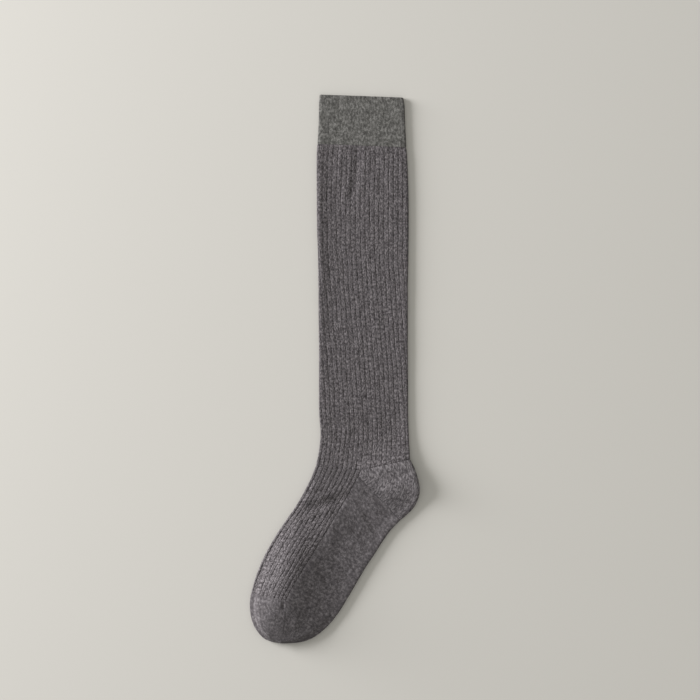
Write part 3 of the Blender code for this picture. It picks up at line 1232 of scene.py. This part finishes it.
@dataclass
class Toe(Stretch):
    """The plain cap over the toes, drawn together to a point."""

    rows: Rows = TOE
    finish: HeatherKnit = PLAIN_KNIT
    flat: Pair = (0.150, 0.052)
    area: float = 0.0056
    ring_step: float = 1.2 * MM
    inner_step: float = 3.6 * MM
    inner_end: float = 5.2
    tip: tuple[float, float, float] = (-54.8 * MM, -273.7 * MM, 2.3 * MM)
    tip_wall: tuple[float, float, float] = (0.0, 3.04 * MM, 0.0)

    def seam(self, rings: Array) -> Array:
        """Draw the skin in at the seam with the foot only."""
        return self.dip(self.ways(rings))

    def inner_rings(self, rings: Array) -> Array:
        """Choose the inner skin's rings, which end a wall short of the tip."""
        inner = self.rings(self.inner_step)
        return np.append(inner[inner < self.inner_end - 0.1], self.inner_end)

    def close_ends(self, shell: Shell, outside: Grid, inside: Grid) -> None:
        """Join the two skins at the seam, and gather each of them at the tip.

        Args:
            shell: the mesh in the making.
            outside: the outer skin.
            inside: the inner skin.
        """
        shell.bridge(outside.edge(0), inside.edge(0), flip=True)
        shell.gather(outside.edge(-1), np.array(self.tip), flip=False)
        shell.gather(inside.edge(-1), np.array(self.tip) + self.tip_wall, flip=True)


# ---- The table, the light and the camera ----


@dataclass
class Studio:
    """A pale table under a large soft light from the left, with the camera straight above."""

    centre: Pair = (14.7 * MM, 19.4 * MM)
    field_width: float = 0.700
    lens: float = 100.0
    sensor: float = 36.0
    table_size: float = 8.0
    table_gap: float = 0.05 * MM
    key_azimuth: float = 161.0
    key_elevation: float = 16.0
    key_distance: float = 3.0
    key_size: float = 1.5
    key_power: float = 174.0
    key_tint: str = "#faf9fb"
    ambient: str = "#cac9c5"
    ambient_strength: float = 0.84

    def set_up(self) -> None:
        """Make the table, the light and the camera."""
        self.table()
        self.light()
        self.world()
        self.camera()
        bpy.context.scene.view_settings.view_transform = "Standard"

    def table(self) -> None:
        """Lay the table top just under the sock."""
        half = self.table_size / 2
        data = bpy.data.meshes.new("table_top")
        corners = [(-half, -half, 0), (half, -half, 0), (half, half, 0), (-half, half, 0)]
        data.from_pydata(corners, [], [(0, 1, 2, 3)])
        data.materials.append(PaintedBoard().material())
        top = add_object("table_top", data)
        top.location.z = -self.table_gap

    def light(self) -> None:
        """Stand the softbox low to the left of the sock, facing it."""
        azimuth, elevation = math.radians(self.key_azimuth), math.radians(self.key_elevation)
        flat = self.key_distance * math.cos(elevation)
        data = bpy.data.lights.new("softbox", "AREA")
        data.shape = "SQUARE"
        data.size = self.key_size
        data.energy = self.key_power
        data.color = linear(self.key_tint)[:3]
        lamp = add_object("softbox", data)
        lamp.location.xy = flat * math.cos(azimuth), flat * math.sin(azimuth)
        lamp.location.z = self.key_distance * math.sin(elevation)
        facing = Vector((*self.centre, 0.0)) - lamp.location
        lamp.rotation_euler = facing.to_track_quat("-Z", "Y").to_euler()

    def world(self) -> None:
        """Light the room evenly all round."""
        world = bpy.data.worlds.new("room")
        world.use_nodes = True
        background = world.node_tree.nodes["Background"]
        background.inputs["Color"].default_value = linear(self.ambient)
        background.inputs["Strength"].default_value = self.ambient_strength
        bpy.context.scene.world = world

    def camera(self) -> None:
        """Hang the camera straight above, so high that the field is the photograph's."""
        data = bpy.data.cameras.new("camera")
        data.lens = self.lens
        data.sensor_width = self.sensor
        camera = add_object("camera", data)
        camera.location = (*self.centre, self.field_width * self.lens / self.sensor)
        bpy.context.scene.camera = camera


def main() -> None:
    """Load the frame, dress the sock and set up the studio."""
    logging.basicConfig(level=logging.INFO, format="%(name)s: %(message)s")
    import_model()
    lie = Lie()
    cuff = Cuff()
    leg = Leg(first_course=cuff.last_course())
    instep = Instep(first_course=leg.last_course())
    sole = Sole(first_course=leg.last_course())
    toe = Toe(first_course=instep.last_course())
    for stretch in (cuff, leg, Heel(), instep, sole, toe):
        stretch.dress(lie)
    Studio().set_up()


if __name__ == "__main__":
    main()
